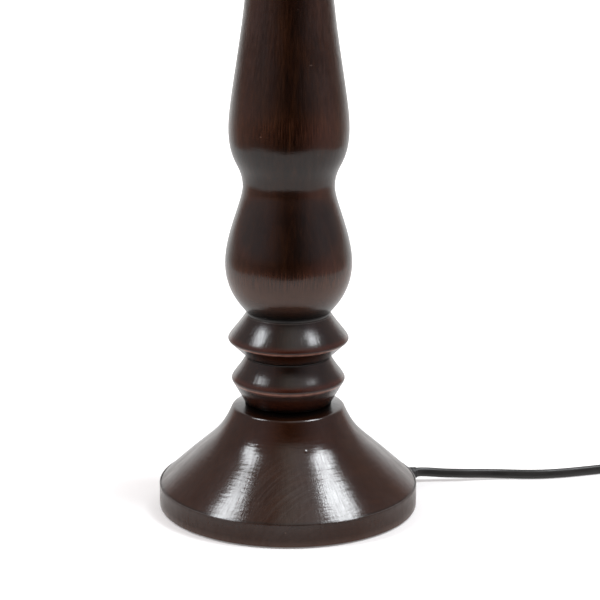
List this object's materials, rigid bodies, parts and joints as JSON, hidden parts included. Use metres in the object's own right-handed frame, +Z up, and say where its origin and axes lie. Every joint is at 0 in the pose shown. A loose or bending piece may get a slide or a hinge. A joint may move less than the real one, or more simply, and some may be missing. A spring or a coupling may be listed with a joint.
{
  "type": "table lamp base",
  "caption": "Dark turned-wood table lamp base with a flared round foot, two V beads, a bulb and a vase, an E27 lampholder and a flat black mains lead.",
  "frame": {"origin": "on the floor, at the centre of the foot's underside, under the column's axis", "axes": "+Z up along the turned column, +X the way the lead leaves the foot"},
  "size_m": [0.3372, 0.2313, 0.4473],
  "materials": {
    "wood": "dark espresso stain under glossy lacquer",
    "felt": "dense pressed felt",
    "steel": "zinc plated",
    "brass": "lacquered turned brass",
    "nickel": "nickel plated",
    "black_plastic": "moulded, matt",
    "holder_plastic": "moulded, glossy",
    "cord_sheath": "soft flexible sheath, satin",
    "brown_core": "flexible insulation",
    "blue_core": "flexible insulation",
    "ceramic": "glazed ceramic",
    "tie": "woven hook-and-loop strap"
  },
  "bodies": {
    "root": {"foot": "wood", "lower_bead": "wood", "upper_bead": "wood", "column": "wood", "top_bead": "wood", "felt_pad": "felt", "ballast_disc": "steel", "threaded_tube": "steel", "base_washer": "steel", "base_nut": "brass", "brass_cap": "brass", "top_nut": "brass", "cord_bush": "black_plastic", "cord_grip": "black_plastic", "grip_screws": "steel", "inner_lead": "cord_sheath", "live_core": "brown_core", "neutral_core": "blue_core", "holder_cap": "holder_plastic", "tube_lock_screw": "steel", "terminal_block": "ceramic", "terminal_posts": "brass", "terminal_screws": "steel", "screw_shell": "brass", "holder_sleeve": "holder_plastic", "cord": "cord_sheath", "cord_coil": "cord_sheath", "coil_ties": "tie", "cord_tail": "cord_sheath", "plug_body": "cord_sheath", "plug_pins": "nickel", "pin_sleeves": "black_plastic"},
    "push_switch": {"push_bar": "holder_plastic", "push_knobs": "holder_plastic", "switch_collar": "brass"},
    "shade_ring": {"shade_ring": "holder_plastic"},
    "contact": {"centre_contact": "brass"}
  },
  "joints": [
    {"name": "switch_push", "type": "slide", "parent": "root", "child": "push_switch", "axis": [-1, 0, 0], "range_m": [0, 0.005]},
    {"name": "shade_ring_lift", "type": "slide", "parent": "root", "child": "shade_ring", "axis": [0, 0, 1], "range_m": [0, 0.018]},
    {"name": "contact_press", "type": "hinge", "parent": "root", "child": "contact", "pos_m": [-0.009, 0, 0.41732], "axis": [0, 1, 0], "range_deg": [0, 12], "stiffness_Nm_per_rad": 0.12}
  ]
}
